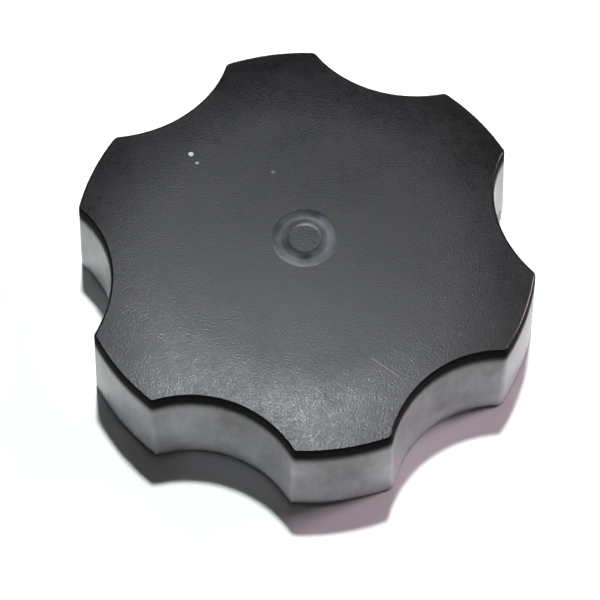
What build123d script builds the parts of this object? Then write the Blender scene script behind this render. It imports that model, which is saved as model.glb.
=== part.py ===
"""A vented screw cap for a fuel tank's filler neck: a six-lobed moulding with a two-way vent valve inside.

The cap stands on its rim at z = 0, with its axis on Z and its crown up. Sizes are in millimetres.
"""

import os
from math import asin, atan, cos, degrees, radians, sin, tan

from build123d import *

os.makedirs("parts", exist_ok=True)

# ---------------------------------------------------------------- driving dimensions
# Grip: six lobes round the axis, with a round scallop between each two
lobe_count = 6
rim_radius = 38.0            # lobe tips, at the rim
scallop_radius = 17.8        # at the rim
scallop_depth = 5.8          # in from the lobe tips, at the rim
cap_height = 18.0            # rim to the flat of the crown
draft = 3.8                  # degrees the walls lean in towards the crown
corner_radius = 1.2          # rounding of the upright corners
crown_edge_radius = 0.45
rim_edge_radius = 0.5

# Crown: flat in the middle, falling gently to the lobe tips on a wide shoulder
crown_shoulder_width = 15.0
crown_arc_radius = 110.0     # about the shoulder's radius

# Gate mark in the middle of the crown: a low soft ring round a dished floor
gate_foot_radius = 5.3       # where the ring rises from the crown
gate_ring_radius = 3.9       # to the top of the ring
gate_ring_height = 0.16
gate_floor_radius = 2.4
gate_floor_depth = 0.18

# Walls of the moulding
skirt_wall = 2.2
roof_wall = 2.4

# Threaded collar inside the skirt
collar_bore_radius = 24.5    # root of the thread
collar_wall = 2.2
collar_start = 1.0           # height of the collar's mouth above the rim
collar_lead_in = 0.6
thread_pitch = 4.0
thread_segment_count = 8
thread_depth = 1.4
thread_crest_width = 1.2
thread_flank = 27.0          # degrees each flank leans from square to the axis
thread_start = 1.7           # lower edge of the thread above the rim
thread_slot_count = 6        # axial slots a turn, which part the thread into segments
thread_slot_root_width = 2.4
thread_slot_crest_width = 4.6

# Ribs between the collar and the skirt
rib_thickness = 1.6
rib_start = 3.0              # height of the ribs' lower edge above the rim
lobe_rib_spread = 7.5        # degrees from a lobe's middle to each of its two ribs

# Breather notches through the collar, under the roof
notch_count = 6
notch_angle = 15.0           # degrees from a scallop's middle
notch_width = 2.6
notch_height = 1.2

# Baffle and gasket stack under the roof
standoff_count = 12
standoff_width = 1.2
standoff_height = 0.8
standoff_margin = 1.3        # from the filter's channel to the standoffs
stack_clearance = 0.4        # between the stack's edge and the collar's bore
flange_thickness = 1.3
gasket_thickness = 2.0
gasket_width = 5.5
gasket_margin = 1.2          # between the gasket's bore and the channel's outer wall
gasket_chamfer = 0.6
bead_reach = 0.8             # how far the retaining bead stands in from the bore
bead_height = 1.0
bead_flat = 0.3

# Baffle
baffle_wall = 1.2
channel_depth = 1.5          # below the flange's upper face
channel_lip = 0.6            # how far the cup's wall stands above the channel's floor
cup_drop = 3.4               # from the channel's floor down to the cup's outer face
vent_hole_radius = 3.9
seat_inner_radius = 4.2
seat_width = 0.7
seat_height = 0.4
baffle_rib_count = 6
baffle_rib_thickness = 1.0
baffle_rib_height = 1.2
guide_count = 3
guide_width = 1.0
guide_depth = 1.4            # how far each guide stands in from the cup's wall
guide_clearance = 0.1

# Foam filter in the channel
filter_clearance = 0.3

# Pressure valve
pressure_lift = 0.8
pressure_seal_inner_radius = 3.4
pressure_seal_outer_radius = 6.4
pressure_seal_thickness = 1.0
plate_radius = 7.1
plate_thickness = 0.6
plate_ring_radius = 4.8
plate_ring_wall = 0.5
plate_ring_height = 0.7
plate_hole_count = 4
plate_hole_radius = 0.5
plate_hole_circle = 2.0
pressure_wire_radius = 0.3
pressure_spring_turns = 2.6
spring_centre_clearance = 0.3

wire_sides = 8               # a round wire, drawn with few faces

# Ring under the roof that centres the pressure spring
boss_inner_radius = 3.0
boss_wall = 0.6
boss_height = 0.6

# Vacuum valve
vacuum_drop = 0.7
stem_radius = 0.95
stem_clearance = 0.05
stem_height = 2.2            # above the plate's lower face
vacuum_head_radius = 3.1
vacuum_head_thickness = 0.5
vacuum_seal_thickness = 0.5
clip_radius = 2.4
clip_thickness = 0.3
clip_groove_radius = 0.6
clip_height = 1.7            # of the clip's lower face above the plate's lower face
vacuum_wire_radius = 0.15
vacuum_spring_turns = 2.2
vacuum_spring_foot_radius = 3.2

# ---------------------------------------------------------------- sizes that follow
scallop_centre = rim_radius - scallop_depth + scallop_radius  # distance from the axis
crown_flat_radius = rim_radius - crown_shoulder_width
roof_underside = cap_height - roof_wall
collar_outer_radius = collar_bore_radius + collar_wall
crest_radius = collar_bore_radius - thread_depth
lobe_angle = 360 / lobe_count
stack_radius = collar_bore_radius - stack_clearance

gasket_inner_radius = stack_radius - gasket_width
channel_outer_radius = gasket_inner_radius - gasket_margin - baffle_wall
cup_inner_radius = plate_radius + guide_clearance + guide_depth
channel_inner_radius = cup_inner_radius + baffle_wall
standoff_start_radius = channel_outer_radius + standoff_margin

flange_top = roof_underside - standoff_height
flange_bottom = flange_top - flange_thickness
gasket_bottom = flange_bottom - gasket_thickness
channel_floor = flange_top - channel_depth
channel_underside = channel_floor - baffle_wall
cup_underside = channel_floor - cup_drop
cup_floor = cup_underside + baffle_wall

seat_top = cup_floor + seat_height
plate_bottom = seat_top + pressure_seal_thickness
plate_top = plate_bottom + plate_thickness
clip_bottom = plate_bottom + clip_height
clip_top = clip_bottom + clip_thickness
boss_outer_radius = boss_inner_radius + boss_wall

cutter_reach = cap_height    # how far a cutting body runs past what it cuts
collar_middle_radius = collar_bore_radius + collar_wall / 2


def star_outline(inset):
    """The lobed outline at the rim, moved inwards by inset."""
    with BuildSketch() as outline:
        Circle(rim_radius - inset)
        with PolarLocations(scallop_centre, lobe_count):
            Circle(scallop_radius + inset, mode=Mode.SUBTRACT)
    return outline.sketch


def crown_section(depth):
    """Half the section below the crown's surface, or below one parallel to it at a depth."""
    arc_radius = crown_arc_radius - depth
    roll_off = asin((rim_radius - crown_flat_radius) / arc_radius)
    top = cap_height - depth
    with BuildSketch() as section:
        with BuildLine():
            flat = Line((0, top), (crown_flat_radius, top))
            shoulder = Spline(
                (crown_flat_radius, top),
                (rim_radius, top - arc_radius * (1 - cos(roll_off))),
                tangents=((1, 0), (cos(roll_off), -sin(roll_off))),
            )
            Polyline(shoulder @ 1, (rim_radius, 0), (0, 0), flat @ 0)
        make_face()
    return section.sketch


def ring_section(inner_radius, outer_radius, bottom, top):
    """Half the section of a plain ring."""
    with BuildSketch() as section:
        with Locations((inner_radius, bottom)):
            Rectangle(outer_radius - inner_radius, top - bottom, align=(Align.MIN, Align.MIN))
    return section.sketch


def rib_plan(first_angle, start_radius, end_radius, count, thickness):
    """Plan of evenly spaced radial ribs."""
    with BuildSketch() as plan:
        with PolarLocations(start_radius, count, start_angle=first_angle):
            Rectangle(end_radius - start_radius, thickness, align=(Align.MIN, Align.CENTER))
    return plan.sketch


outer_outline = star_outline(0)
inner_outline = star_outline(skirt_wall)
outer_crown = crown_section(0)
inner_crown = crown_section(roof_wall)

# ---------------------------------------------------------------- thread
# A right-hand ridge, parted into segments by axial slots so that it strips from its mould.
# Its crest is trimmed to a true cylinder, the bore that the neck passes through.
flank_run = thread_depth * tan(radians(thread_flank))
root_half_width = thread_crest_width / 2 + flank_run
thread_turns = thread_segment_count / thread_slot_count
over_crest = 0.1             # how far the swept ridge stands past its trimmed crest
in_wall = 0.3                # how far its root is sunk in the collar's wall


def ridge_half_width(height):
    """Half the ridge's width at a height above its root."""
    return root_half_width - height * tan(radians(thread_flank))


with BuildPart() as thread_ridge:
    with BuildLine() as ridge_path:
        Helix(
            pitch=thread_pitch,
            height=thread_pitch * thread_turns,
            radius=collar_bore_radius,
            center=(0, 0, thread_start + root_half_width),
        )
    ridge_plane = Plane(origin=ridge_path.line @ 0, x_dir=(-1, 0, 0), z_dir=ridge_path.line % 0)
    with BuildSketch(ridge_plane):
        with BuildLine():
            Polyline(
                (-in_wall, -ridge_half_width(-in_wall)),
                (thread_depth + over_crest, -ridge_half_width(thread_depth + over_crest)),
                (thread_depth + over_crest, ridge_half_width(thread_depth + over_crest)),
                (-in_wall, ridge_half_width(-in_wall)),
                close=True,
            )
        make_face()
    sweep(path=ridge_path.line, is_frenet=True)
    with BuildSketch(Plane.XY):
        Circle(crest_radius)
    extrude(amount=cap_height, mode=Mode.SUBTRACT)
    with BuildSketch(Plane.XY):
        with PolarLocations(0, thread_slot_count):
            Polygon(
                (crest_radius - over_crest, -thread_slot_crest_width / 2),
                (collar_bore_radius, -thread_slot_root_width / 2),
                (collar_outer_radius, -thread_slot_root_width / 2),
                (collar_outer_radius, thread_slot_root_width / 2),
                (collar_bore_radius, thread_slot_root_width / 2),
                (crest_radius - over_crest, thread_slot_crest_width / 2),
                align=None,
            )
    extrude(amount=cap_height, mode=Mode.SUBTRACT)


# ---------------------------------------------------------------- inside of the moulding
# The mould's core: the space inside the skirt, less the collar, ribs, bead and bosses that stand in it.
with BuildPart() as mould_core:
    with BuildSketch(Plane.XY):
        add(inner_outline)
    extrude(amount=cap_height, taper=draft)
    with BuildSketch(Plane.XZ):
        add(inner_crown)
    revolve(axis=Axis.Z, mode=Mode.INTERSECT)

    # collar, with breather notches under the roof and a lead-in at its mouth
    with BuildSketch(Plane.XZ):
        with BuildLine():
            Polyline(
                (collar_bore_radius, cutter_reach),
                (collar_bore_radius, collar_start + collar_lead_in),
                (collar_bore_radius + collar_lead_in, collar_start),
                (collar_outer_radius, collar_start),
                (collar_outer_radius, cutter_reach),
                close=True,
            )
        make_face()
    revolve(axis=Axis.Z, mode=Mode.SUBTRACT)
    with BuildSketch(Plane.XY.offset(roof_underside - notch_height)):
        add(rib_plan(notch_angle, stack_radius, collar_outer_radius + rib_thickness, notch_count, notch_width))
    extrude(amount=notch_height)

    # ribs from the collar to the skirt: one at each scallop, two at each lobe
    with BuildSketch(Plane.XY.offset(rib_start)):
        for first_angle in (0, lobe_angle / 2 - lobe_rib_spread, lobe_angle / 2 + lobe_rib_spread):
            add(rib_plan(first_angle, collar_middle_radius, rim_radius, lobe_count, rib_thickness))
    extrude(amount=cap_height, mode=Mode.SUBTRACT)

    # bead in the collar that holds the gasket and the baffle up
    with BuildSketch(Plane.XZ):
        with BuildLine():
            Polyline(
                (collar_bore_radius, gasket_bottom),
                (collar_bore_radius - bead_reach, gasket_bottom - (bead_height - bead_flat) / 2),
                (collar_bore_radius - bead_reach, gasket_bottom - (bead_height + bead_flat) / 2),
                (collar_bore_radius, gasket_bottom - bead_height),
                close=True,
            )
        make_face()
    revolve(axis=Axis.Z, mode=Mode.SUBTRACT)

    # standoffs that keep an air gap between the baffle's flange and the roof
    with BuildSketch(Plane.XY.offset(flange_top)):
        add(rib_plan(0, standoff_start_radius, collar_middle_radius, standoff_count, standoff_width))
    extrude(amount=standoff_height, mode=Mode.SUBTRACT)

    # ring that centres the pressure spring
    with BuildSketch(Plane.XZ):
        add(ring_section(boss_inner_radius, boss_outer_radius, roof_underside - boss_height, roof_underside))
    revolve(axis=Axis.Z, mode=Mode.SUBTRACT)

    add(thread_ridge.part, mode=Mode.SUBTRACT)

# ---------------------------------------------------------------- cap body
with BuildPart() as cap_body:
    with BuildSketch(Plane.XY):
        add(outer_outline)
    extrude(amount=cap_height, taper=draft)
    with BuildSketch(Plane.XZ):
        add(outer_crown)
    revolve(axis=Axis.Z, mode=Mode.INTERSECT)

    upright_corners = cap_body.edges().filter_by(lambda e: e.bounding_box().size.Z > cap_height / 2)
    fillet(upright_corners, radius=corner_radius)
    walls = cap_body.faces().filter_by(lambda f: abs(f.normal_at().Z) < 0.5)
    crown = cap_body.faces().filter_by(lambda f: f.normal_at().Z > 0.5)
    fillet(walls.edges() & crown.edges(), radius=crown_edge_radius)
    fillet(cap_body.faces().sort_by(Axis.Z)[0].edges(), radius=rim_edge_radius)

    # gate mark, set into a round hole in the top of the roof
    gate_seat = cap_height - roof_wall / 2
    with BuildSketch(Plane.XY.offset(gate_seat)):
        Circle(gate_foot_radius)
    extrude(amount=cutter_reach, mode=Mode.SUBTRACT)
    with BuildSketch(Plane.XZ):
        with BuildLine():
            outer_flank = Spline(
                (gate_foot_radius, cap_height),
                (gate_ring_radius, cap_height + gate_ring_height),
                tangents=((-1, 0), (-1, 0)),
            )
            inner_flank = Spline(
                outer_flank @ 1,
                (gate_floor_radius, cap_height - gate_floor_depth),
                tangents=((-1, 0), (-1, 0)),
            )
            Polyline(
                inner_flank @ 1,
                (0, cap_height - gate_floor_depth),
                (0, gate_seat),
                (gate_foot_radius, gate_seat),
                outer_flank @ 0,
            )
        make_face()
    revolve(axis=Axis.Z)

    add(mould_core.part, mode=Mode.SUBTRACT)

cap_body.part.label = "cap_body"
export_step(cap_body.part, "parts/cap_body.step")

# ---------------------------------------------------------------- neck gasket
with BuildPart() as neck_gasket:
    with BuildSketch(Plane.XZ):
        add(ring_section(gasket_inner_radius, stack_radius, gasket_bottom, flange_bottom))
    revolve(axis=Axis.Z)
    lower_outer_edge = neck_gasket.edges().group_by(Axis.Z)[0].sort_by(SortBy.RADIUS)[-1]
    chamfer(lower_outer_edge, length=gasket_chamfer)

neck_gasket.part.label = "neck_gasket"
export_step(neck_gasket.part, "parts/neck_gasket.step")

# ---------------------------------------------------------------- vent baffle
# Flange, channel for the filter, and the valve cup in the middle.
with BuildPart() as vent_baffle:
    with BuildSketch(Plane.XZ):
        with BuildLine():
            Polyline(
                (vent_hole_radius, cup_underside),
                (channel_inner_radius, cup_underside),
                (channel_inner_radius, channel_underside),
                (channel_outer_radius + baffle_wall, channel_underside),
                (channel_outer_radius + baffle_wall, flange_bottom),
                (stack_radius, flange_bottom),
                (stack_radius, flange_top),
                (channel_outer_radius, flange_top),
                (channel_outer_radius, channel_floor),
                (channel_inner_radius, channel_floor),
                (channel_inner_radius, channel_floor + channel_lip),
                (cup_inner_radius, channel_floor + channel_lip),
                (cup_inner_radius, cup_floor),
                (seat_inner_radius + seat_width, cup_floor),
                (seat_inner_radius + seat_width, seat_top),
                (seat_inner_radius, seat_top),
                (seat_inner_radius, cup_floor),
                (vent_hole_radius, cup_floor),
                close=True,
            )
        make_face()
    revolve(axis=Axis.Z)

    # stiffening ribs below the channel
    with BuildSketch(Plane.XY.offset(channel_underside - baffle_rib_height)):
        add(
            rib_plan(
                0,
                channel_inner_radius - baffle_wall / 2,
                channel_outer_radius + baffle_wall / 2,
                baffle_rib_count,
                baffle_rib_thickness,
            )
        )
    extrude(amount=baffle_rib_height)

    # guides that centre the pressure plate in its cup
    with BuildSketch(Plane.XY.offset(cup_floor)):
        add(
            rib_plan(
                0,
                plate_radius + guide_clearance,
                cup_inner_radius + baffle_wall / 2,
                guide_count,
                guide_width,
            )
        )
    extrude(amount=channel_floor + channel_lip - cup_floor)

vent_baffle.part.label = "vent_baffle"
export_step(vent_baffle.part, "parts/vent_baffle.step")

# ---------------------------------------------------------------- vent filter
with BuildPart() as vent_filter:
    with BuildSketch(Plane.XZ):
        add(
            ring_section(
                channel_inner_radius + filter_clearance,
                channel_outer_radius - filter_clearance,
                channel_floor,
                roof_underside - filter_clearance,
            )
        )
    revolve(axis=Axis.Z)

vent_filter.part.label = "vent_filter"
export_step(vent_filter.part, "parts/vent_filter.step")

# ---------------------------------------------------------------- pressure valve
with BuildPart() as pressure_seal:
    with BuildSketch(Plane.XZ):
        add(ring_section(pressure_seal_inner_radius, pressure_seal_outer_radius, seat_top, plate_bottom))
    revolve(axis=Axis.Z)

pressure_seal.part.label = "pressure_seal"
export_step(pressure_seal.part, "parts/pressure_seal.step")

with BuildPart() as pressure_plate:
    with BuildSketch(Plane.XY.offset(plate_bottom)):
        Circle(plate_radius)
        Circle(stem_radius + stem_clearance, mode=Mode.SUBTRACT)
        with PolarLocations(plate_hole_circle, plate_hole_count):
            Circle(plate_hole_radius, mode=Mode.SUBTRACT)
    extrude(amount=plate_thickness)
    with BuildSketch(Plane.XY.offset(plate_top)):
        Circle(plate_ring_radius)
        Circle(plate_ring_radius - plate_ring_wall, mode=Mode.SUBTRACT)
    extrude(amount=plate_ring_height)

pressure_plate.part.label = "pressure_plate"
export_step(pressure_plate.part, "parts/pressure_plate.step")


def conical_spring(start_radius, end_radius, bottom, top, wire_radius, turns):
    """A conical spring between two planes, with its ends ground flat on them and its wire eight-sided."""
    ground = wire_radius / 2
    start_height = bottom + wire_radius - ground
    height = top - bottom - 2 * (wire_radius - ground)
    cone_angle = degrees(atan((start_radius - end_radius) / height))
    with BuildPart() as spring:
        with BuildLine() as coil:
            Helix(
                pitch=height / turns,
                height=height,
                radius=end_radius,
                center=(0, 0, start_height + height),
                direction=(0, 0, -1),
                cone_angle=cone_angle,
            )
        with BuildSketch(Plane(origin=coil.line @ 0, z_dir=coil.line % 0)):
            RegularPolygon(wire_radius, wire_sides)
        sweep(path=coil.line, is_frenet=True)
        with BuildSketch(Plane.XY.offset(bottom)):
            Circle(start_radius + 2 * wire_radius)
        extrude(amount=top - bottom, mode=Mode.INTERSECT)
    return spring.part


pressure_spring = conical_spring(
    start_radius=plate_ring_radius + spring_centre_clearance + pressure_wire_radius,
    end_radius=boss_outer_radius + spring_centre_clearance + pressure_wire_radius,
    bottom=plate_top,
    top=roof_underside,
    wire_radius=pressure_wire_radius,
    turns=pressure_spring_turns,
)
pressure_spring.label = "pressure_spring"
export_step(pressure_spring, "parts/pressure_spring.step")

# ---------------------------------------------------------------- vacuum valve
with BuildPart() as vacuum_valve:
    with BuildSketch(Plane.XZ):
        with BuildLine():
            Polyline(
                (0, plate_bottom - vacuum_seal_thickness - vacuum_head_thickness),
                (vacuum_head_radius, plate_bottom - vacuum_seal_thickness - vacuum_head_thickness),
                (vacuum_head_radius, plate_bottom - vacuum_seal_thickness),
                (stem_radius, plate_bottom - vacuum_seal_thickness),
                (stem_radius, clip_bottom),
                (clip_groove_radius, clip_bottom),
                (clip_groove_radius, clip_top),
                (stem_radius, clip_top),
                (stem_radius, plate_bottom + stem_height),
                (0, plate_bottom + stem_height),
                close=True,
            )
        make_face()
    revolve(axis=Axis.Z)

vacuum_valve.part.label = "vacuum_valve"
export_step(vacuum_valve.part, "parts/vacuum_valve.step")

with BuildPart() as vacuum_seal:
    with BuildSketch(Plane.XZ):
        add(
            ring_section(
                stem_radius + stem_clearance,
                vacuum_head_radius,
                plate_bottom - vacuum_seal_thickness,
                plate_bottom,
            )
        )
    revolve(axis=Axis.Z)

vacuum_seal.part.label = "vacuum_seal"
export_step(vacuum_seal.part, "parts/vacuum_seal.step")

with BuildPart() as spring_clip:
    with BuildSketch(Plane.XY.offset(clip_bottom)):
        Circle(clip_radius)
        Circle(clip_groove_radius + stem_clearance, mode=Mode.SUBTRACT)
        with Locations((clip_radius, 0)):
            Rectangle(2 * clip_radius, 2 * clip_groove_radius, mode=Mode.SUBTRACT)
    extrude(amount=clip_thickness)

spring_clip.part.label = "spring_clip"
export_step(spring_clip.part, "parts/spring_clip.step")

vacuum_spring = conical_spring(
    start_radius=vacuum_spring_foot_radius,
    end_radius=clip_radius - 2 * vacuum_wire_radius,
    bottom=plate_top,
    top=clip_bottom,
    wire_radius=vacuum_wire_radius,
    turns=vacuum_spring_turns,
)
vacuum_spring.label = "vacuum_spring"
export_step(vacuum_spring, "parts/vacuum_spring.step")
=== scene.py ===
"""Looks of a vented screw cap for a fuel tank's filler neck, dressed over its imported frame.

The cap stands on its rim at z = 0 with its axis on Z and its crown up. Lengths are in metres, except where a
name ends in _mm, and angles in radians, except where it ends in _deg. Each finish is worked out from a real size
in millimetres.
"""

import logging
import math
from dataclasses import dataclass, field
from enum import Enum
from typing import Any, Mapping

import bmesh
import bpy
import numpy as np
from mathutils import Matrix, Vector


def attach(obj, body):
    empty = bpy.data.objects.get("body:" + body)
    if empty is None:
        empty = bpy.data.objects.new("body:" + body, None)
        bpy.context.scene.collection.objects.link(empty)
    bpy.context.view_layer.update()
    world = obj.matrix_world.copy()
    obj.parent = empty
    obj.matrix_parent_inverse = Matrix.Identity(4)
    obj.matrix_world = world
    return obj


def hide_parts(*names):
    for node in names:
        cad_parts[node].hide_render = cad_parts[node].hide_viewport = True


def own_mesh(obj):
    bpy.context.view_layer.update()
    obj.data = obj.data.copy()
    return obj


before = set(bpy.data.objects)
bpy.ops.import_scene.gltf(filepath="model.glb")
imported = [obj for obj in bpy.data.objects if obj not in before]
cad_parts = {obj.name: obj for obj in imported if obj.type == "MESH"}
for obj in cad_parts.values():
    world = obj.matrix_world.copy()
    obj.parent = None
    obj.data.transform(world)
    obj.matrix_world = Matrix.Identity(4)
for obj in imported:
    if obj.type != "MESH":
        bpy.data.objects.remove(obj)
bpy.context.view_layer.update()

logging.basicConfig(level=logging.INFO, format="%(name)s: %(message)s")
log = logging.getLogger("filler_cap")

MM = 0.001
ACROSS = (1.0, 1.0, 0.0)      # times a place, this is its way out from the axis
WELD = 1e-7                   # points nearer than this are one

Material = bpy.types.Material
Node = bpy.types.Node
Piece = bpy.types.Object
Socket = bpy.types.NodeSocket
Tree = bpy.types.NodeTree
Point = tuple[float, float, float]
Span = tuple[float, float]    # the two ends of a range


class Body(Enum):
    """The moving bodies of the cap."""

    CAP = "cap"
    PRESSURE_VALVE = "pressure_valve"


class Joint(Enum):
    """The two ways that the vent opens."""

    PRESSURE_RELIEF = "pressure_relief"
    VACUUM_RELIEF = "vacuum_relief"


class Slot(Enum):
    """The record's material slot of the new pieces."""

    STEEL = "spring_steel"


class Reach(Enum):
    """What a lamp lights: everything, colour and shadow alone, or gloss alone."""

    ALL = "all"
    COLOUR = "colour"
    GLOSS = "gloss"


class Lay(Enum):
    """Which way the lines of a metal's making run."""

    ALONG_WIRE = "along the wire"
    ACROSS_SHEET = "across the sheet"


# ---------------------------------------------------------------------------------------------- small helpers
def linear(hex_colour: str) -> tuple[float, float, float, float]:
    """Turns an sRGB hex value to linear light.

    The curve is sRGB's own: c / 12.92 up to 0.04045, and ((c + 0.055) / 1.055)^2.4 above it.

    Args:
        hex_colour: The colour as "#rrggbb".

    Returns:
        Linear red, green and blue, and a full alpha.
    """
    srgb = np.array([int(hex_colour[i : i + 2], 16) for i in (1, 3, 5)]) / 255
    value = np.where(srgb <= 0.04045, srgb / 12.92, ((srgb + 0.055) / 1.055) ** 2.4)
    return (*(float(v) for v in value), 1.0)


def result(node: Node) -> Socket:
    """A node's result: the first of its outputs that its settings leave on."""
    return next(output for output in node.outputs if output.enabled)


def add_node(
    tree: Tree, kind: str, inputs: Mapping[str | int, Any] | None = None, feeds: Socket | None = None, **settings: Any
) -> Node:
    """Adds a node with its settings, fills or links its inputs, and links its result.

    Args:
        tree: The node tree.
        kind: The node's type, without the words that every shader node's type starts with.
        inputs: Values by input number, or by name among the inputs that the settings leave on. A socket is
            linked, a node is linked by its result, and anything else is set as the value.
        feeds: The input that the result goes to, if any.
        settings: The node's properties.

    Returns:
        The node.
    """
    node = tree.nodes.new("ShaderNode" + kind)
    for name, value in settings.items():
        setattr(node, name, value)
    named = {socket.name: socket for socket in list(node.inputs)[::-1] if socket.enabled}
    for key, value in (inputs or {}).items():
        target = named[key] if isinstance(key, str) else node.inputs[key]
        if isinstance(value, Node):
            value = result(value)
        if isinstance(value, Socket):
            tree.links.new(value, target)
        else:
            target.default_value = value
    if feeds is not None:
        tree.links.new(result(node), feeds)
    return node


@dataclass
class Blank:
    """A new material's parts: its shader and the surface's place in millimetres, for a finish to fill in."""

    name: str
    material: Material = field(init=False)
    tree: Tree = field(init=False)
    output: Node = field(init=False)
    shader: Node = field(init=False)
    coordinates: Node = field(init=False)
    position: Node = field(init=False)

    def __post_init__(self) -> None:
        """Makes the material with its shader and coordinates."""
        self.material = bpy.data.materials.new(self.name)
        self.material.use_nodes = True
        self.tree = self.material.node_tree
        self.tree.nodes.clear()
        self.output = add_node(self.tree, "OutputMaterial")
        self.shader = add_node(self.tree, "BsdfPrincipled", feeds=self.output.inputs["Surface"])
        self.coordinates = add_node(self.tree, "TexCoord")
        self.position = add_node(
            self.tree, "VectorMath", {0: self.coordinates.outputs["Object"], "Scale": 1 / MM}, operation="SCALE"
        )

    def from_axis(self) -> tuple[Node, Node]:
        """The way out from the axis to the surface, and how long it is, in millimetres."""
        way = add_node(self.tree, "VectorMath", {0: self.position, 1: ACROSS}, operation="MULTIPLY")
        return way, add_node(self.tree, "VectorMath", {0: way}, operation="LENGTH")

    def paint(self, ground: str | Node, coat: str, mask: Node) -> Node:
        """Colours the surface with one colour over another.

        Args:
            ground: The colour below, as a hex value, or what an earlier call returned.
            coat: The colour above, as a hex value.
            mask: How well the coat covers, from 0 to 1.

        Returns:
            The node that mixes them.
        """
        below = linear(ground) if isinstance(ground, str) else ground
        return add_node(
            self.tree, "Mix", {"Factor": mask, "A": below, "B": linear(coat)},
            feeds=self.shader.inputs["Base Color"], data_type="RGBA",
        )

    def set_finish(self, ior: float | None = None, metallic: float = 0.0) -> None:
        """Sets the values that are the same all over the surface."""
        self.shader.inputs["Metallic"].default_value = metallic
        if ior is not None:
            self.shader.inputs["IOR"].default_value = ior


def mesh_from_grid(name: str, points: np.ndarray, closed_u: bool, closed_v: bool) -> Piece:
    """Makes an object from a grid of points, each cell of the grid a quad.

    Args:
        name: The object's name.
        points: The points, as an array of rows along u, columns along v and 3 coordinates.
        closed_u: Whether the last row joins the first.
        closed_v: Whether the last column joins the first.

    Returns:
        The object, linked to the scene and shaded smooth, with u and v as its UV map.
    """
    rows, columns = points.shape[:2]
    i = np.arange(rows if closed_u else rows - 1)[:, None]
    j = np.arange(columns if closed_v else columns - 1)[None, :]
    cells = np.stack(np.broadcast_arrays(i, j, i + 1, j + 1), axis=-1).reshape(-1, 4)
    corners = cells[:, [[0, 1], [2, 1], [2, 3], [0, 3]]]
    quads = (corners[..., 0] % rows) * columns + corners[..., 1] % columns
    mesh = bpy.data.meshes.new(name)
    mesh.from_pydata(points.reshape(-1, 3).tolist(), [], quads.tolist())
    mesh.polygons.foreach_set("use_smooth", np.ones(len(mesh.polygons), bool))
    mesh.uv_layers.new(name="wire").uv.foreach_set(
        "vector", (corners / [max(rows - 1, 1), columns]).astype(np.float32).ravel()
    )
    mesh.update()
    made = bpy.data.objects.new(name, mesh)
    bpy.context.scene.collection.objects.link(made)
    return made


def dress(node: str, material: Material) -> None:
    """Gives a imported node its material.

    Args:
        node: The node's name.
        material: The material.
    """
    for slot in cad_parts[node].material_slots:
        slot.material = material
    log.info("%s: %s", node, material.name)


# ---------------------------------------------------------------------------------------------- finishes
@dataclass(frozen=True)
class Knock:
    """A white mark on the crown: a dot, or a line where its ends differ."""

    start_mm: Point
    end_mm: Point
    half_width_mm: float
    strength: float


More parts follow.
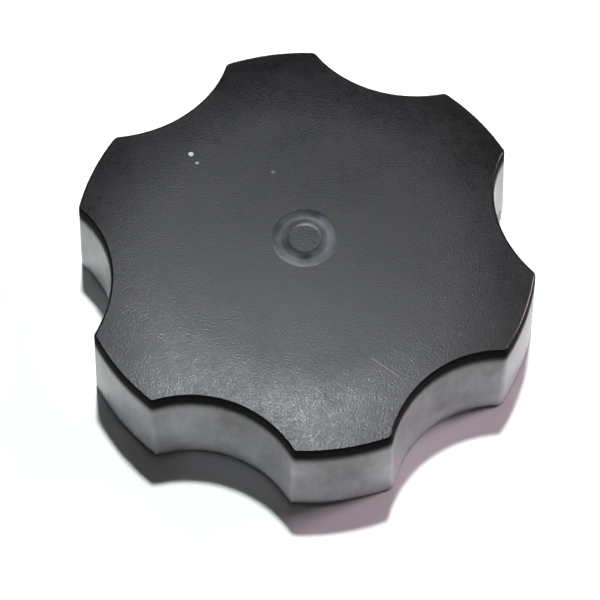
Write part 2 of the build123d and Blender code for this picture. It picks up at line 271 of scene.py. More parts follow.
@dataclass(frozen=True)
class MouldedNylon:
    """Black nylon 6, injection moulded: spark-eroded grain on the crown, a polished edge, satin drawn walls."""

    colour: str = "#0c0d0f"
    film_and_reflection_colour: str = "#a2a3a6"               # partly the pale film that handling and fuel leave on the walls, partly painted reflection of the bright floor on them
    gate_sheen_colour: str = "#5d646c"             # a painted sheen on the gate mark's raised ring
    chalk_colour: str = "#c9ccd0"              # where a knock has bruised the black white
    ior: float = 1.50

    # where the parts of the surface lie
    cap_height_mm: float = 18.0
    crown_flat_radius_mm: float = 23.0
    crown_arc_radius_mm: float = 110.0
    crown_depth_mm: float = 1.0                # the crown lies no deeper than this below its own curve
    crown_tilt: Span = (0.09, 0.19)            # tilt past its own slope: grained up to the first, bare at the second
    outer_wall_from_mm: float = 29.0           # the outer walls stand further out than this, the collar further in
    wall_tilt: Span = (1.15, 1.40)             # drawn from the first tilt, wholly at the second
    wall_facing: float = 0.2                   # the least that a wall faces out from the axis
    edge_band_mm: Span = (1.2, 3.8)            # below the crown: polished to the first depth, drawn from the second
    edge_roll: float = 0.95                    # how far the band's normal leans up, against its outward length
    gate_radii_mm: Span = (2.4, 5.3)
    gate_margin_mm: float = 0.2                # how far past the gate mark its steep sides count as crown
    gate_ring_core_mm: float = 0.5                # each side of the ring's middle, wholly in the ring
    gate_ring_fade_mm: float = 0.3                # past the ring's edge, where the ring ends

    # grain, clouds and smears
    grain_pitch_mm: float = 0.30               # spark-eroded texture, drawn about twice as coarse so that it shows
    fine_pitch_mm: float = 0.14                # finer grain on it
    fine_share: float = 0.5                    # and its height against the coarse
    grain_depth_mm: float = 0.028
    grain_worn_mm: Span = (14.0, 29.0)         # worn shallow inside the first radius, whole outside the second
    grain_left: float = 0.5                    # how much of it is left where it is worn
    cloud_mm: float = 7.0                      # broad patches that are duller or shinier
    mottle_mm: float = 1.5                     # and small ones
    mottle: float = 0.15
    speckle_mm: float = 0.25                   # the grain's tops and pits, which differ in roughness
    speckle: float = 0.32
    smear_mm: float = 7.0
    smear_drawn: Point = (1.0, 1.0, 0.8)       # how many times shorter smears are along each axis
    streak_mm: float = 1.0                     # narrow streaks in the smears
    streak_drawn: Point = (1.0, 1.0, 0.4)
    streak_share: float = 0.22                 # how much of the pattern they are
    smear_heights_mm: Span = (2.0, 14.0)
    smear_and_painted_light_lift: Span = (0.11, -0.20)           # added to the smears at those heights, which paints the walls paler low down and darker near the crown's edge
    film_and_reflection_levels: Span = (0.25, 0.68)           # smears below the first have the least film and painted reflection, above the second the most
    film_and_reflection_least: float = 0.30
    gate_sheen_levels: Span = (0.35, 0.60)         # clouds between which the gate mark's painted sheen comes in
    gate_sheen_most: float = 0.9

    # roughness, from the polished ends of the patterns to the dull ones
    crown_levels: Span = (0.3, 0.7)
    crown_roughness: Span = (0.33, 0.39)
    wall_roughness: Span = (0.26, 0.46)
    edge_roughness: float = 0.24
    gate_roughness: float = 0.48
    chalk_roughness: float = 0.7

    knocks: tuple[Knock, ...] = (
        Knock((-15.76, 18.56, 18.0), (-15.76, 18.56, 18.0), 0.36, 1.0),
        Knock((-15.02, 16.68, 18.0), (-15.02, 16.68, 18.0), 0.26, 0.5),
        Knock((-3.12, 13.02, 18.0), (-3.12, 13.02, 18.0), 0.30, 0.15),
        Knock((6.78, -22.72, 18.0), (11.08, -27.29, 17.9), 0.05, 0.30),
    )
    ragged_mm: float = 0.5                     # the size of the notches in a knock's edge
    ragged_least: float = 0.6                  # the least half width that the notches leave, against its own

    def material(self) -> Material:
        """Builds the material: one shader whose colour, roughness and bump are parted by masks of the surface."""
        blank = Blank("black_nylon_moulded")
        tree, shader = blank.tree, blank.shader
        crown, wall, band, ring = self.regions(blank)
        clouds = add_node(tree, "TexNoise", {"Vector": blank.position, "Scale": 1 / self.cloud_mm, "Detail": 3.0})
        smears_and_painted_light = self.smears_and_painted_light(blank)
        chalk = self.chalk(blank, crown)
        drawn = add_node(tree, "Math", {0: 1.0, 1: band}, operation="SUBTRACT")
        drawn = add_node(tree, "Math", {0: wall, 1: drawn}, operation="MULTIPLY")

        # colour: black, paler where the film and its painted reflection of the floor lie, with a painted sheen on the
        # gate mark's ring, and white at the knocks
        film_and_reflection = add_node(
            tree, "MapRange", {"Value": smears_and_painted_light, "From Min": self.film_and_reflection_levels[0], "From Max": self.film_and_reflection_levels[1],
                               "To Min": self.film_and_reflection_least}
        )
        film_and_reflection = add_node(tree, "Math", {0: film_and_reflection, 1: drawn}, operation="MULTIPLY")
        # painted sheen on the gate mark's ring
        gate_sheen = add_node(
            tree, "MapRange", {"Value": clouds, "From Min": self.gate_sheen_levels[0], "From Max": self.gate_sheen_levels[1],
                               "To Max": self.gate_sheen_most}
        )
        gate_sheen = add_node(tree, "Math", {0: gate_sheen, 1: ring}, operation="MULTIPLY")
        paint = blank.paint(self.colour, self.film_and_reflection_colour, film_and_reflection)
        paint = blank.paint(paint, self.gate_sheen_colour, gate_sheen)
        blank.paint(paint, self.chalk_colour, chalk)

        # roughness: polished edge, satin walls with smears, grained crown with clouds, mottle and speckle
        on_wall = add_node(
            tree, "MapRange", {"Value": smears_and_painted_light, "To Min": self.wall_roughness[0], "To Max": self.wall_roughness[1]}
        )
        on_crown = add_node(
            tree, "MapRange", {"Value": clouds, "From Min": self.crown_levels[0], "From Max": self.crown_levels[1],
                               "To Min": self.crown_roughness[0], "To Max": self.crown_roughness[1]}
        )
        mottle = add_node(tree, "TexNoise", {"Vector": blank.position, "Scale": 1 / self.mottle_mm, "Detail": 3.0})
        mottle = add_node(tree, "Math", {0: mottle, 1: 0.5}, operation="SUBTRACT")
        on_crown = add_node(tree, "Math", {0: mottle, 1: self.mottle, 2: on_crown}, operation="MULTIPLY_ADD")
        speckle = add_node(tree, "TexNoise", {"Vector": blank.position, "Scale": 1 / self.speckle_mm, "Detail": 2.0})
        speckle = add_node(tree, "Math", {0: speckle, 1: 0.5}, operation="SUBTRACT")
        speckle = add_node(tree, "Math", {0: speckle, 1: self.speckle}, operation="MULTIPLY")
        on_crown = add_node(
            tree, "Math", {0: speckle, 1: self.whole_grain(blank), 2: on_crown}, operation="MULTIPLY_ADD"
        )
        rough = add_node(tree, "Mix", {"Factor": drawn, "A": self.edge_roughness, "B": on_wall})
        rough = add_node(tree, "Mix", {"Factor": crown, "A": rough, "B": on_crown})
        rough = add_node(tree, "Mix", {"Factor": ring, "A": rough, "B": self.gate_roughness})
        add_node(
            tree, "Mix", {"Factor": chalk, "A": rough, "B": self.chalk_roughness}, feeds=shader.inputs["Roughness"]
        )

        # the grain, bumped over the rolled edge
        add_node(
            tree, "Bump", {"Distance": self.grain_depth_mm * MM, "Height": self.grain(blank, crown),
                           "Normal": self.rolled_edge(blank, band)},
            feeds=shader.inputs["Normal"],
        )
        blank.set_finish(ior=self.ior)
        return blank.material

    def regions(self, blank: Blank) -> tuple[Node, Node, Node, Node]:
        """Masks of the surface's parts, from its place and tilt.

        The crown's own slope at a radius r is (r - flat) / arc, and its height falls from the flat by
        (r - flat)^2 / (2 arc). Where the surface tilts further than that slope the grain stops. A wall stands
        upright outside the collar and faces away from the axis. The polished band is the top of the walls, by
        depth below the crown.

        Args:
            blank: The material.

        Returns:
            Masks from 0 to 1 of the grained crown, the outer walls, the polished band and the gate mark's ring.
        """
        tree, normal = blank.tree, blank.coordinates.outputs["Normal"]
        way, radius = blank.from_axis()
        height = add_node(tree, "SeparateXYZ", {0: blank.position}).outputs["Z"]
        rise = add_node(tree, "SeparateXYZ", {0: normal}).outputs["Z"]
        tilt = add_node(tree, "Math", {0: rise}, operation="ARCCOSINE")
        run = add_node(tree, "Math", {0: radius, 1: self.crown_flat_radius_mm}, operation="SUBTRACT")
        run = add_node(tree, "Math", {0: run, 1: 0.0}, operation="MAXIMUM")
        fall = add_node(tree, "Math", {0: run, 1: run}, operation="MULTIPLY")
        fall = add_node(tree, "Math", {0: fall, 1: 2 * self.crown_arc_radius_mm}, operation="DIVIDE")
        depth = add_node(tree, "Math", {0: self.cap_height_mm, 1: height}, operation="SUBTRACT")
        depth = add_node(tree, "Math", {0: depth, 1: fall}, operation="SUBTRACT")

        own_slope = add_node(tree, "Math", {0: run, 1: self.crown_arc_radius_mm}, operation="DIVIDE")
        past = add_node(tree, "Math", {0: tilt, 1: own_slope}, operation="SUBTRACT")
        crown = add_node(
            tree, "MapRange", {"Value": past, "From Min": self.crown_tilt[1], "From Max": self.crown_tilt[0]}
        )
        by_gate = self.gate_radii_mm[1] + self.gate_margin_mm
        by_gate = add_node(tree, "Math", {0: radius, 1: by_gate}, operation="LESS_THAN")
        crown = add_node(tree, "Math", {0: crown, 1: by_gate}, operation="MAXIMUM")
        near_top = add_node(tree, "Math", {0: depth, 1: self.crown_depth_mm}, operation="LESS_THAN")
        crown = add_node(tree, "Math", {0: crown, 1: near_top}, operation="MULTIPLY")

        outward = add_node(tree, "VectorMath", {0: way}, operation="NORMALIZE")
        outward = add_node(tree, "VectorMath", {0: outward, 1: normal}, operation="DOT_PRODUCT")
        facing = add_node(tree, "Math", {0: outward, 1: self.wall_facing}, operation="GREATER_THAN")
        outside = add_node(tree, "Math", {0: radius, 1: self.outer_wall_from_mm}, operation="GREATER_THAN")
        outside = add_node(tree, "Math", {0: outside, 1: facing}, operation="MULTIPLY")
        wall = add_node(
            tree, "MapRange", {"Value": tilt, "From Min": self.wall_tilt[0], "From Max": self.wall_tilt[1]}
        )
        wall = add_node(tree, "Math", {0: wall, 1: outside}, operation="MULTIPLY")
        band = add_node(
            tree, "MapRange", {"Value": depth, "From Min": self.edge_band_mm[1], "From Max": self.edge_band_mm[0]},
            interpolation_type="SMOOTHSTEP",
        )
        band = add_node(tree, "Math", {0: band, 1: outside}, operation="MULTIPLY")

        middle = sum(self.gate_radii_mm) / 2
        off_ring = add_node(tree, "Math", {0: radius, 1: middle}, operation="SUBTRACT")
        off_ring = add_node(tree, "Math", {0: off_ring}, operation="ABSOLUTE")
        ring = add_node(
            tree, "MapRange",
            {"Value": off_ring, "From Min": self.gate_radii_mm[1] - middle + self.gate_ring_fade_mm,
             "From Max": self.gate_ring_core_mm},
            interpolation_type="SMOOTHSTEP",
        )
        ring = add_node(tree, "Math", {0: ring, 1: crown}, operation="MULTIPLY")
        return crown, wall, band, ring

    def smears_and_painted_light(self, blank: Blank) -> Node:
        """Smears on the walls, drawn out upwards: broad ones with narrow streaks in them, and more low down, which also
        paints the walls' film paler low down and darker towards the crown's edge, as painted light.
        """
        tree = blank.tree
        broad = add_node(tree, "VectorMath", {0: blank.position, 1: self.smear_drawn}, operation="MULTIPLY")
        broad = add_node(tree, "TexNoise", {"Vector": broad, "Scale": 1 / self.smear_mm, "Detail": 4.0})
        narrow = add_node(tree, "VectorMath", {0: blank.position, 1: self.streak_drawn}, operation="MULTIPLY")
        narrow = add_node(tree, "TexNoise", {"Vector": narrow, "Scale": 1 / self.streak_mm, "Detail": 2.0})
        both = add_node(tree, "Mix", {"Factor": self.streak_share, "A": broad, "B": narrow})
        height = add_node(tree, "SeparateXYZ", {0: blank.position}).outputs["Z"]
        # painted light: the film is lifted low down, where the bright floor lights the walls, and lowered near the
        # crown's edge
        (bottom, top), (low, high) = self.smear_heights_mm, self.smear_and_painted_light_lift
        lift = add_node(
            tree, "MapRange", {"Value": height, "From Min": bottom, "From Max": top, "To Min": low, "To Max": high}
        )
        return add_node(tree, "Math", {0: both, 1: lift}, operation="ADD")

    def rolled_edge(self, blank: Blank, band: Node) -> Node:
        """The surface's normal, leaning up in the polished band as it would over a soft rounding.

        It is the own normal plus roll * band * (1 - rise) along Z, made a unit long, so it leans less where the
        surface already faces up.
        """
        tree = blank.tree
        own = add_node(tree, "NewGeometry").outputs["Normal"]
        rise = add_node(tree, "SeparateXYZ", {0: own}).outputs["Z"]
        left = add_node(tree, "Math", {0: 1.0, 1: rise}, operation="SUBTRACT", use_clamp=True)
        lean = add_node(tree, "Math", {0: left, 1: band}, operation="MULTIPLY")
        lean = add_node(tree, "Math", {0: lean, 1: self.edge_roll}, operation="MULTIPLY")
        lean = add_node(tree, "CombineXYZ", {"Z": lean})
        leaning = add_node(tree, "VectorMath", {0: own, 1: lean}, operation="ADD")
        return add_node(tree, "VectorMath", {0: leaning}, operation="NORMALIZE")

    def whole_grain(self, blank: Blank) -> Node:
        """How whole the grain is: worn shallow in the middle of the crown, whole on its shoulder."""
        _, radius = blank.from_axis()
        return add_node(
            blank.tree, "MapRange", {"Value": radius, "From Min": self.grain_worn_mm[0],
                                     "From Max": self.grain_worn_mm[1], "To Min": self.grain_left}
        )

    def grain(self, blank: Blank, crown: Node) -> Node:
        """The height of the crown's spark-eroded grain: coarse noise with finer noise on it."""
        tree = blank.tree
        coarse = add_node(tree, "TexNoise", {"Vector": blank.position, "Scale": 1 / self.grain_pitch_mm, "Detail": 1.0})
        fine = add_node(tree, "TexNoise", {"Vector": blank.position, "Scale": 1 / self.fine_pitch_mm, "Detail": 0.0})
        height = add_node(tree, "Math", {0: fine, 1: self.fine_share, 2: coarse}, operation="MULTIPLY_ADD")
        height = add_node(tree, "Math", {0: height, 1: crown}, operation="MULTIPLY")
        return add_node(tree, "Math", {0: height, 1: self.whole_grain(blank)}, operation="MULTIPLY")

    def chalk(self, blank: Blank, crown: Node) -> Node:
        """The knocks on the crown, as a mask with ragged edges.

        A place is in a knock where its distance from the line between the knock's ends is less than the half
        width times (noise + least).
        """
        tree = blank.tree
        ragged = add_node(tree, "TexNoise", {"Vector": blank.position, "Scale": 1 / self.ragged_mm, "Detail": 2.0})
        mask: Node | float = 0.0
        for knock in self.knocks:
            run = Vector(knock.end_mm) - Vector(knock.start_mm)
            per_run = run / (run.length_squared or 1.0)
            place = add_node(tree, "VectorMath", {0: blank.position, 1: knock.start_mm}, operation="SUBTRACT")
            along = add_node(tree, "VectorMath", {0: place, 1: per_run}, operation="DOT_PRODUCT")
            along = add_node(tree, "Math", {0: along, 1: 1.0}, operation="MULTIPLY", use_clamp=True)
            nearest = add_node(tree, "VectorMath", {0: run, "Scale": along}, operation="SCALE")
            away = add_node(tree, "VectorMath", {0: place, 1: nearest}, operation="DISTANCE")
            width, least = knock.half_width_mm, self.ragged_least * knock.half_width_mm
            edge = add_node(tree, "Math", {0: ragged, 1: width, 2: least}, operation="MULTIPLY_ADD")
            mark = add_node(tree, "Math", {0: away, 1: edge}, operation="LESS_THAN")
            mark = add_node(tree, "Math", {0: mark, 1: knock.strength}, operation="MULTIPLY")
            mask = add_node(tree, "Math", {0: mask, 1: mark}, operation="MAXIMUM")
        return add_node(tree, "Math", {0: mask, 1: crown}, operation="MULTIPLY")


@dataclass(frozen=True)
class NaturalAcetal:
    """Natural acetal, injection moulded: a milky white with a soft waxy gloss and faint flow clouds."""

    colour: str = "#e4e3db"
    stained_colour: str = "#cdc5b0"    # where vapour has yellowed it
    ior: float = 1.48
    roughness: Span = (0.28, 0.44)     # from the clouds' low end to their high end
    cloud_mm: float = 6.0
    stain_levels: Span = (0.42, 0.75)  # clouds between which the stain comes in
    stain_most: float = 0.8
    orange_peel_mm: float = 0.9
    peel_depth_mm: float = 0.02

    def material(self) -> Material:
        """Builds the material: clouds part its colour and gloss, and a soft orange peel is bumped over it."""
        blank = Blank("natural_acetal_moulded")
        tree, shader, place = blank.tree, blank.shader, blank.position
        clouds = add_node(tree, "TexNoise", {"Vector": place, "Scale": 1 / self.cloud_mm, "Detail": 4.0})
        stain = add_node(
            tree, "MapRange", {"Value": clouds, "From Min": self.stain_levels[0], "From Max": self.stain_levels[1],
                               "To Max": self.stain_most}
        )
        blank.paint(self.colour, self.stained_colour, stain)
        add_node(
            tree, "MapRange", {"Value": clouds, "To Min": self.roughness[0], "To Max": self.roughness[1]},
            feeds=shader.inputs["Roughness"],
        )
        peel = add_node(tree, "TexNoise", {"Vector": place, "Scale": 1 / self.orange_peel_mm, "Detail": 2.0})
        add_node(
            tree, "Bump", {"Distance": self.peel_depth_mm * MM, "Height": peel}, feeds=shader.inputs["Normal"]
        )
        blank.set_finish(ior=self.ior)
        return blank.material


@dataclass(frozen=True)
class NitrileRubber:
    """Nitrile rubber, compression moulded: dead black with a dull dusty bloom and a fine tooth."""

    colour: str = "#1d1d1e"
    bloom_colour: str = "#39393a"
    ior: float = 1.52
    roughness: Span = (0.52, 0.77)     # clean, and under bloom
    bloom_mm: float = 2.2
    bloom_levels: Span = (0.40, 0.75)
    tooth_mm: float = 0.22
    tooth_depth_mm: float = 0.012

    def material(self) -> Material:
        """Builds the material: bloom lightens and dulls it in patches, and the tooth is bumped over it."""
        blank = Blank("nitrile_rubber_moulded")
        tree, shader, place = blank.tree, blank.shader, blank.position
        bloom = add_node(tree, "TexNoise", {"Vector": place, "Scale": 1 / self.bloom_mm, "Detail": 5.0})
        bloom = add_node(
            tree, "MapRange", {"Value": bloom, "From Min": self.bloom_levels[0], "From Max": self.bloom_levels[1]}
        )
        blank.paint(self.colour, self.bloom_colour, bloom)
        add_node(
            tree, "MapRange", {"Value": bloom, "To Min": self.roughness[0], "To Max": self.roughness[1]},
            feeds=shader.inputs["Roughness"],
        )
        tooth = add_node(tree, "TexNoise", {"Vector": place, "Scale": 1 / self.tooth_mm, "Detail": 2.0})
        add_node(
            tree, "Bump", {"Distance": self.tooth_depth_mm * MM, "Height": tooth}, feeds=shader.inputs["Normal"]
        )
        blank.set_finish(ior=self.ior)
        return blank.material


@dataclass(frozen=True)
class FilterFoam:
    """Open-cell polyurethane foam, cut: charcoal struts round pores painted black as the shade in their hollows, with
    no gloss.
    """

    strut_colour: str = "#4a4a4c"
    painted_pore_shade_colour: str = "#131314"
    cell_mm: float = 0.7
    strut_levels: Span = (0.06, 0.22)  # from a cell's border: strut up to the first, painted pore shade from the second
    pore_depth_mm: float = 0.25
    roughness: float = 0.95

    def material(self) -> Material:
        """Builds the material: cells of Voronoi noise, whose borders are the struts and whose middles are painted dark
        as the shade in the pores.
        """
        blank = Blank("polyurethane_foam_cut")
        tree, shader = blank.tree, blank.shader
        cells = add_node(
            tree, "TexVoronoi", {"Vector": blank.position, "Scale": 1 / self.cell_mm}, feature="DISTANCE_TO_EDGE"
        )
        pore = add_node(
            tree, "MapRange", {"Value": cells, "From Min": self.strut_levels[0], "From Max": self.strut_levels[1]}
        )
        # the pores are painted dark as the shade in their hollows
        blank.paint(self.strut_colour, self.painted_pore_shade_colour, pore)
        add_node(
            tree, "Bump", {"Distance": self.pore_depth_mm * MM, "Height": pore},
            feeds=shader.inputs["Normal"], invert=True,
        )
        shader.inputs["Roughness"].default_value = self.roughness
        return blank.material


@dataclass(frozen=True)
class SpringSteel:
    """Spring steel, drawn to wire or rolled and stamped: cool grey metal with fine lines the way it was drawn."""

    lay: Lay
    colour: str = "#b4b3b0"
    stained_colour: str = "#8b8378"
    roughness: Span = (0.20, 0.39)     # from the lines' low end to their high end
    line_pitch_mm: float = 0.05
    line_depth_mm: float = 0.003
    line_length_mm: float = 4.0
    wire_length_mm: float = 78.0       # the longer spring's, which the other shares
    wire_girth_mm: float = 1.9
    stain_mm: float = 0.9
    stain_levels: Span = (0.45, 0.8)
    stain_most: float = 0.7

    def material(self) -> Material:
        """Builds the material: lines of noise drawn out along the wire's UV, or along the sheet's X."""
        blank = Blank("spring_steel_" + ("drawn" if self.lay is Lay.ALONG_WIRE else "rolled"))
        tree, shader = blank.tree, blank.shader
        place, length, girth = blank.position, 1.0, 1.0
        if self.lay is Lay.ALONG_WIRE:
            place, length, girth = blank.coordinates.outputs["UV"], self.wire_length_mm, self.wire_girth_mm
        drawn = (length / self.line_length_mm, girth / self.line_pitch_mm, 1.0 / self.line_pitch_mm)
        lines = add_node(tree, "VectorMath", {0: place, 1: drawn}, operation="MULTIPLY")
        lines = add_node(tree, "TexNoise", {"Vector": lines, "Scale": 1.0, "Detail": 2.0})
        stain = add_node(tree, "TexNoise", {"Vector": blank.position, "Scale": 1 / self.stain_mm, "Detail": 4.0})
        stain = add_node(
            tree, "MapRange", {"Value": stain, "From Min": self.stain_levels[0], "From Max": self.stain_levels[1],
                               "To Max": self.stain_most}
        )
        blank.paint(self.colour, self.stained_colour, stain)
        add_node(
            tree, "MapRange", {"Value": lines, "To Min": self.roughness[0], "To Max": self.roughness[1]},
            feeds=shader.inputs["Roughness"],
        )
        add_node(
            tree, "Bump", {"Distance": self.line_depth_mm * MM, "Height": lines}, feeds=shader.inputs["Normal"]
        )
        blank.set_finish(metallic=1.0)
        return blank.material


@dataclass(frozen=True)
class TurnedBrass:
    """Free-cutting brass, turned: warm yellow metal with the tool's rings round the axis and brown tarnish."""

    colour: str = "#caa65c"
    tarnish_colour: str = "#8a6a3c"
    roughness: Span = (0.24, 0.52)     # clean, and under tarnish
    tarnish_mm: float = 1.6
    tarnish_levels: Span = (0.42, 0.78)
    tarnish_most: float = 0.8
    feed_mm: float = 0.16              # the tool's feed in one turn, drawn coarser so that it shows
    ring_depth_mm: float = 0.006

    def material(self) -> Material:
        """Builds the material: rings at sin(2 pi r / feed) of the radius r, and tarnish in patches."""
        blank = Blank("brass_turned")
        tree, shader = blank.tree, blank.shader
        _, radius = blank.from_axis()
        phase = add_node(tree, "Math", {0: radius, 1: 2 * math.pi / self.feed_mm}, operation="MULTIPLY")
        rings = add_node(tree, "Math", {0: phase}, operation="SINE")
        tarnish = add_node(tree, "TexNoise", {"Vector": blank.position, "Scale": 1 / self.tarnish_mm, "Detail": 5.0})
        tarnish = add_node(
            tree, "MapRange", {"Value": tarnish, "From Min": self.tarnish_levels[0],
                               "From Max": self.tarnish_levels[1], "To Max": self.tarnish_most}
        )
        blank.paint(self.colour, self.tarnish_colour, tarnish)
        add_node(
            tree, "MapRange", {"Value": tarnish, "To Min": self.roughness[0], "To Max": self.roughness[1]},
            feeds=shader.inputs["Roughness"],
        )
        add_node(
            tree, "Bump", {"Distance": self.ring_depth_mm * MM, "Height": rings}, feeds=shader.inputs["Normal"]
        )
        blank.set_finish(metallic=1.0)
        return blank.material


# ---------------------------------------------------------------------------------------------- sub-assemblies
@dataclass
class ConicalSpring:
    """A spring of round wire wound on a cone, with its ends ground flat."""

    name: str
    body: Body
    joint: Joint
    foot_radius_mm: float     # centre of the wire at the bottom
    head_radius_mm: float     # and at the top
    bottom_mm: float
    top_mm: float
    wire_radius_mm: float
    turns: float
    start_deg: float          # where the wire starts, anticlockwise from +X
    keep: float               # how much of its height is left at the joint's limit
    taper: float = 1.0        # 1 draws in evenly, more draws in late, to stay clear of the ring that centres it
    segments: int = 34        # along a turn
    sides: int = 16           # round the wire

    def points(self) -> np.ndarray:
        """The wire's surface: a circle carried along a line that climbs as it goes round and draws in.

        The line's angle is start + 2 pi turns q and its height goes evenly with q from 0 to 1. Its radius is
        head + (foot - head)(1 - q^taper). The circle at each place is the wire's radius times
        (radial cos s + binormal sin s). Its first and last circles shrink to a point. The ends are ground flat:
        the line starts and stops half a wire's radius inside two planes, and what stands past them is cut to them.

        Returns:
            The points as rows along the wire, columns round it and 3 coordinates, in millimetres.
        """
        rows = int(self.segments * self.turns)
        q = np.linspace(0, 1, rows)
        ground = self.wire_radius_mm / 2
        low, high = self.bottom_mm + ground, self.top_mm - ground
        angle = math.radians(self.start_deg) + 2 * np.pi * self.turns * q
        radius = self.head_radius_mm + (self.foot_radius_mm - self.head_radius_mm) * (1 - q**self.taper)
        line = np.stack([radius * np.cos(angle), radius * np.sin(angle), low + (high - low) * q], axis=-1)
        radial = np.stack([np.cos(angle), np.sin(angle), np.zeros(rows)], axis=-1)
        along = np.gradient(line, axis=0)
        along /= np.linalg.norm(along, axis=1, keepdims=True)
        binormal = np.cross(along, radial)
        binormal /= np.linalg.norm(binormal, axis=1, keepdims=True)
        radial = np.cross(binormal, along)
        line, radial, binormal = (np.concatenate([a[:1], a, a[-1:]]) for a in (line, radial, binormal))
        size = np.full(rows + 2, self.wire_radius_mm)
        size[[0, -1]] = 0
        s = np.linspace(0, 2 * np.pi, self.sides, endpoint=False)
        circle = radial[:, None] * np.cos(s)[:, None] + binormal[:, None] * np.sin(s)[:, None]
        surface = line[:, None] + size[:, None, None] * circle
        surface[..., 2] = np.clip(surface[..., 2], self.bottom_mm, self.top_mm)
        return surface

    def build(self, material: Material) -> None:
        """Makes the spring in place of its plain node.

        Args:
            material: The steel's material.
        """
        spring = mesh_from_grid(self.name + "_wire", self.points() * MM, closed_u=False, closed_v=True)
        shape = bmesh.new()
        shape.from_mesh(spring.data)
        bmesh.ops.remove_doubles(shape, verts=shape.verts, dist=WELD)
        bmesh.ops.recalc_face_normals(shape, faces=shape.faces)
        shape.to_mesh(spring.data)
        shape.free()
        spring.data.materials.append(material)
        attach(spring, self.body.value)
        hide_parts(self.name)
        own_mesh(spring)
        log.info("%s: %s", spring.name, material.name)


@dataclass
class Moulding:
    """The gripped shell with its threaded collar, and the gasket that seals it on the neck."""

    nylon: MouldedNylon = MouldedNylon()
    rubber: NitrileRubber = NitrileRubber()

    def build(self) -> None:
        """Dresses the shell and its gasket."""
        dress("cap_body", self.nylon.material())
        dress("neck_gasket", self.rubber.material())


@dataclass
class VentHousing:
    """The baffle that holds the valves under the roof, and the filter round it."""

    acetal: NaturalAcetal = NaturalAcetal()
    foam: FilterFoam = FilterFoam()

    def build(self) -> None:
        """Dresses the baffle and the filter."""
        dress("vent_baffle", self.acetal.material())
        dress("vent_filter", self.foam.material())


@dataclass
class Valves:
    """The pressure valve's plate and the vacuum valve inside it, with their seals and springs."""

    brass: TurnedBrass = TurnedBrass()
    rubber: NitrileRubber = NitrileRubber()
    wire: SpringSteel = SpringSteel(Lay.ALONG_WIRE)
    sheet: SpringSteel = SpringSteel(Lay.ACROSS_SHEET)
    springs: list[ConicalSpring] = field(default_factory=lambda: [
        ConicalSpring(
            "pressure_spring", Body.CAP, Joint.PRESSURE_RELIEF, foot_radius_mm=5.4, head_radius_mm=4.2,
            bottom_mm=13.1, top_mm=15.6, wire_radius_mm=0.3, turns=2.6, start_deg=262.0, keep=0.68, taper=3.0,
        ),
        ConicalSpring(
            "vacuum_spring", Body.PRESSURE_VALVE, Joint.VACUUM_RELIEF, foot_radius_mm=3.2, head_radius_mm=2.1,
            bottom_mm=13.1, top_mm=14.2, wire_radius_mm=0.15, turns=2.2, start_deg=80.0, keep=0.364,
        ),
    ])

    def build(self) -> None:
        """Dresses the valves and winds their springs."""
        brass, rubber = self.brass.material(), self.rubber.material()
        for node in ("pressure_plate", "vacuum_valve"):
            dress(node, brass)
        for node in ("pressure_seal", "vacuum_seal"):
            dress(node, rubber)
        dress("spring_clip", self.sheet.material())
        wire = self.wire.material()
        for spring in self.springs:
            spring.build(wire)


# ---------------------------------------------------------------------------------------------- studio
@dataclass
class Lamp:
    """A round soft lamp that points at the cap."""

    name: str
    heading_deg: float        # anticlockwise from +X
    elevation_deg: float
    size: float
    level: float              # how bright it makes a white floor under the cap
    colour: Point
    reach: Reach = Reach.ALL
    distance: float = 1.0

    def build(self) -> None:
        """Makes the lamp. A lamp of power P at distance d lights a white floor to P sin(elevation) / (pi d)^2."""
        data = bpy.data.lights.new(self.name, "AREA")
        data.shape = "DISK"
        data.size = self.size
        elevation, heading = math.radians(self.elevation_deg), math.radians(self.heading_deg)
        data.energy = self.level * (math.pi * self.distance) ** 2 / math.sin(elevation)
        data.color = self.colour
        lamp = bpy.data.objects.new(self.name, data)
        bpy.context.scene.collection.objects.link(lamp)
        direction = Vector(
            (math.cos(elevation) * math.cos(heading), math.cos(elevation) * math.sin(heading), math.sin(elevation))
        )
        lamp.location = direction * self.distance
        lamp.rotation_euler = direction.to_track_quat("Z", "Y").to_euler()
        lamp.visible_camera = False
        lamp.visible_glossy = self.reach is not Reach.COLOUR
        lamp.visible_diffuse = self.reach is not Reach.GLOSS


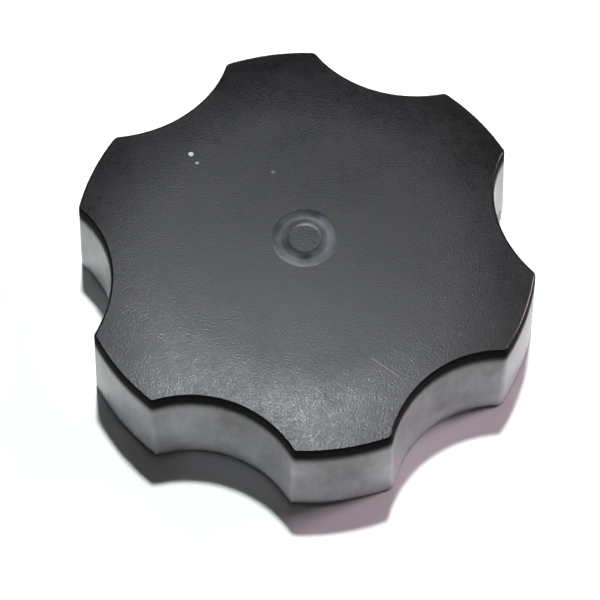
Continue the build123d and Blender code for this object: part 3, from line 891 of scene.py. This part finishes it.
@dataclass
class Studio:
    """A pale floor, soft lamps, a dim room and the camera."""

    heading_deg: float = 8.77                   # the camera stands turned this much from the cap's -Y side
    camera_elevation_deg: float = 61.24
    camera_roll_deg: float = -0.29
    camera_place_mm: Point = (-24.09, -150.85, 275.86)
    lens_mm: float = 113.4
    sensor_mm: float = 36.0
    clip: Span = (0.01, 20.0)

    floor_rings: tuple[float, ...] = (0.0, 0.05, 0.1, 0.2, 0.5, 1.0, 3.0)
    floor_sides: int = 96
    floor_height: float = -0.00005              # just below the rim, so that the two don't share a plane
    floor_bounce: float = 1.4                   # how white the floor is to the walls that it lights
    floor_seen_white: float = 1.25              # and as the camera sees it, a shade over exposed
    clear_to_white: Span = (0.10, 0.22)         # lit and shadowed inside the first radius, white past the second
    lit_from_below: Span = (0.0008, 0.0025)     # heights between which the lamp below comes to reach the cap
    under_strength: float = 5.5
    under_spread_deg: float = 120.0

    ambient: float = 0.005
    horizon: float = 0.40                       # how pale gloss shows the room low down, fading upwards
    horizon_top: float = 0.75                   # the sine of the elevation where it has faded
    lamps: list[Lamp] = field(default_factory=lambda: [
        Lamp("key_lamp", 77.8, 71.3, 0.06, 0.80, (0.97, 1.02, 1.01), Reach.COLOUR),
        Lamp("gloss_lamp", 97.0, 76.5, 0.24, 0.65, (0.97, 1.0, 1.04), Reach.GLOSS),
        Lamp("side_lamp", 12.0, 40.0, 0.25, 0.17, (1.15, 0.87, 0.99)),
    ])

    def build(self) -> None:
        """Makes the camera, the floor, the lamps and the world."""
        self.build_camera()
        self.build_floor()
        for lamp in self.lamps:
            lamp.build()
        self.build_underlight()
        self.build_world()
        bpy.context.scene.view_settings.view_transform = "Standard"

    def build_camera(self) -> None:
        """Makes the camera, whose axes follow from its heading, elevation and roll."""
        data = bpy.data.cameras.new("camera")
        data.sensor_fit = "HORIZONTAL"
        data.sensor_width = self.sensor_mm
        data.lens = self.lens_mm
        data.clip_start, data.clip_end = self.clip
        camera = bpy.data.objects.new("camera", data)
        bpy.context.scene.collection.objects.link(camera)
        tip = Matrix.Rotation(math.radians(90 - self.camera_elevation_deg), 4, "X")
        turn = Matrix.Rotation(math.radians(-self.heading_deg), 4, "Z")
        roll = Matrix.Rotation(math.radians(self.camera_roll_deg), 4, "Z")
        camera.matrix_world = Matrix.Translation(Vector(self.camera_place_mm) * MM) @ turn @ tip @ roll
        bpy.context.scene.camera = camera

    def build_floor(self) -> Piece:
        """Makes the floor: a disc whose points are a radius times a direction, on a grid of both."""
        radius = np.array(self.floor_rings)[:, None]
        angle = np.linspace(0, 2 * np.pi, self.floor_sides, endpoint=False)[None, :]
        height = np.full((len(radius), self.floor_sides), self.floor_height)
        points = np.stack([radius * np.cos(angle), radius * np.sin(angle), height], axis=-1)
        floor = mesh_from_grid("floor", points, closed_u=False, closed_v=True)
        floor.data.materials.append(self.white_board())
        return floor

    def white_board(self) -> Material:
        """Builds the floor's material: matt white near the cap, and glowing plain white further out.

        From below it is clear. It also lets the lamp below through, but not to what stands right on it.
        """
        blank = Blank("white_board")
        tree = blank.tree
        tree.nodes.remove(blank.shader)
        path = add_node(tree, "LightPath")
        seen = add_node(
            tree, "Mix", {"Factor": path.outputs["Is Camera Ray"], "A": self.floor_bounce, "B": self.floor_seen_white}
        )
        matt = add_node(tree, "BsdfDiffuse", {"Color": seen})
        away = add_node(tree, "VectorMath", {0: blank.coordinates.outputs["Object"]}, operation="LENGTH")
        far = add_node(
            tree, "MapRange", {"Value": away, "From Min": self.clear_to_white[0], "From Max": self.clear_to_white[1]},
            interpolation_type="SMOOTHSTEP",
        )
        shown = add_node(
            tree, "Math", {0: path.outputs["Is Camera Ray"], 1: self.gloss_rays(tree, path)}, operation="MAXIMUM"
        )
        glow = add_node(tree, "Math", {0: far, 1: shown}, operation="MULTIPLY")
        board = add_node(tree, "MixShader", {0: glow, 1: matt, 2: add_node(tree, "Emission", {"Strength": 1.0})})

        below = add_node(tree, "NewGeometry").outputs["Backfacing"]
        raised = add_node(
            tree, "MapRange", {"Value": path.outputs["Ray Length"], "From Min": self.lit_from_below[0],
                               "From Max": self.lit_from_below[1]}
        )
        let_through = add_node(tree, "Math", {0: raised, 1: path.outputs["Is Shadow Ray"]}, operation="MULTIPLY")
        clear = add_node(tree, "Math", {0: below, 1: let_through}, operation="MAXIMUM")
        add_node(
            tree, "MixShader", {0: clear, 1: board, 2: add_node(tree, "BsdfTransparent")},
            feeds=blank.output.inputs["Surface"],
        )
        return blank.material

    @staticmethod
    def gloss_rays(tree: Tree, path: Node) -> Node:
        """A mask of the rays that show the background in gloss and through glass."""
        return add_node(
            tree, "Math", {0: path.outputs["Is Glossy Ray"], 1: path.outputs["Is Transmission Ray"]},
            operation="MAXIMUM",
        )

    def build_underlight(self) -> None:
        """Makes a broad lamp below the floor, which lights the underside, and the walls as a bright floor would."""
        data = bpy.data.lights.new("under_lamp", "SUN")
        data.energy = self.under_strength
        data.angle = math.radians(self.under_spread_deg)
        lamp = bpy.data.objects.new("under_lamp", data)
        bpy.context.scene.collection.objects.link(lamp)
        lamp.rotation_euler = (math.pi, 0, 0)

    def build_world(self) -> None:
        """Makes the room: dim all round, white to the camera, and paler low down to gloss alone."""
        world = bpy.data.worlds.new("room")
        bpy.context.scene.world = world
        world.use_nodes = True
        tree = world.node_tree
        tree.nodes.clear()
        path = add_node(tree, "LightPath")
        direction = add_node(tree, "TexCoord").outputs["Generated"]
        rise = add_node(tree, "SeparateXYZ", {0: direction}).outputs["Z"]
        horizon = add_node(
            tree, "MapRange",
            {"Value": rise, "From Max": self.horizon_top, "To Min": self.horizon, "To Max": self.ambient},
            interpolation_type="SMOOTHSTEP",
        )
        level = add_node(tree, "Mix", {"Factor": self.gloss_rays(tree, path), "A": self.ambient, "B": horizon})
        level = add_node(tree, "Mix", {"Factor": path.outputs["Is Camera Ray"], "A": level, "B": 1.0})
        output = add_node(tree, "OutputWorld")
        add_node(tree, "Background", {"Strength": level}, feeds=output.inputs["Surface"])


# ---------------------------------------------------------------------------------------------- main
def main() -> None:
    """Builds the studio and the cap's sub-assemblies."""
    Studio().build()
    for assembly in (Moulding(), VentHousing(), Valves()):
        assembly.build()


if __name__ == "__main__":
    main()
